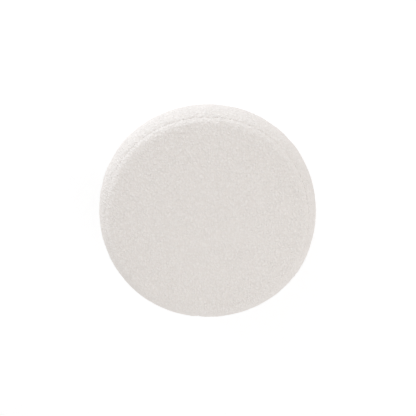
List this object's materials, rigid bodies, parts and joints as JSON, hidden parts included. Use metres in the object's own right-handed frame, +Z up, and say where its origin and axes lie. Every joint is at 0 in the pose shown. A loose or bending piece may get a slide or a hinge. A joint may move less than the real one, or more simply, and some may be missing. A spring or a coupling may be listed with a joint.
{
  "type": "round storage ottoman",
  "caption": "Low round storage ottoman in looped pile cloth: a thick puffy padded lid lifts off a padded drum with an open well inside.",
  "frame": {"origin": "on the floor under the middle of the ottoman", "axes": "+Z up through the middle of the drum and lid; -Y is the front, with the closing seams of the covers at the back, +Y"},
  "size_m": [0.4016, 0.4016, 0.395],
  "materials": {
    "loop_cloth": "warm white looped pile cloth, matt, with small round loops about 5 mm apart",
    "fibreboard": "plain bare fibreboard, matt"
  },
  "bodies": {
    "base": {"drum_cover": "loop_cloth", "drum_shell": "fibreboard", "drum_floor": "fibreboard"},
    "lid": {"lid_cushion": "loop_cloth", "lid_board": "fibreboard"}
  },
  "joints": [
    {"name": "lid_lift", "type": "slide", "parent": "base", "child": "lid", "axis": [0, 0, 1], "range_m": [0, 0.3]}
  ]
}
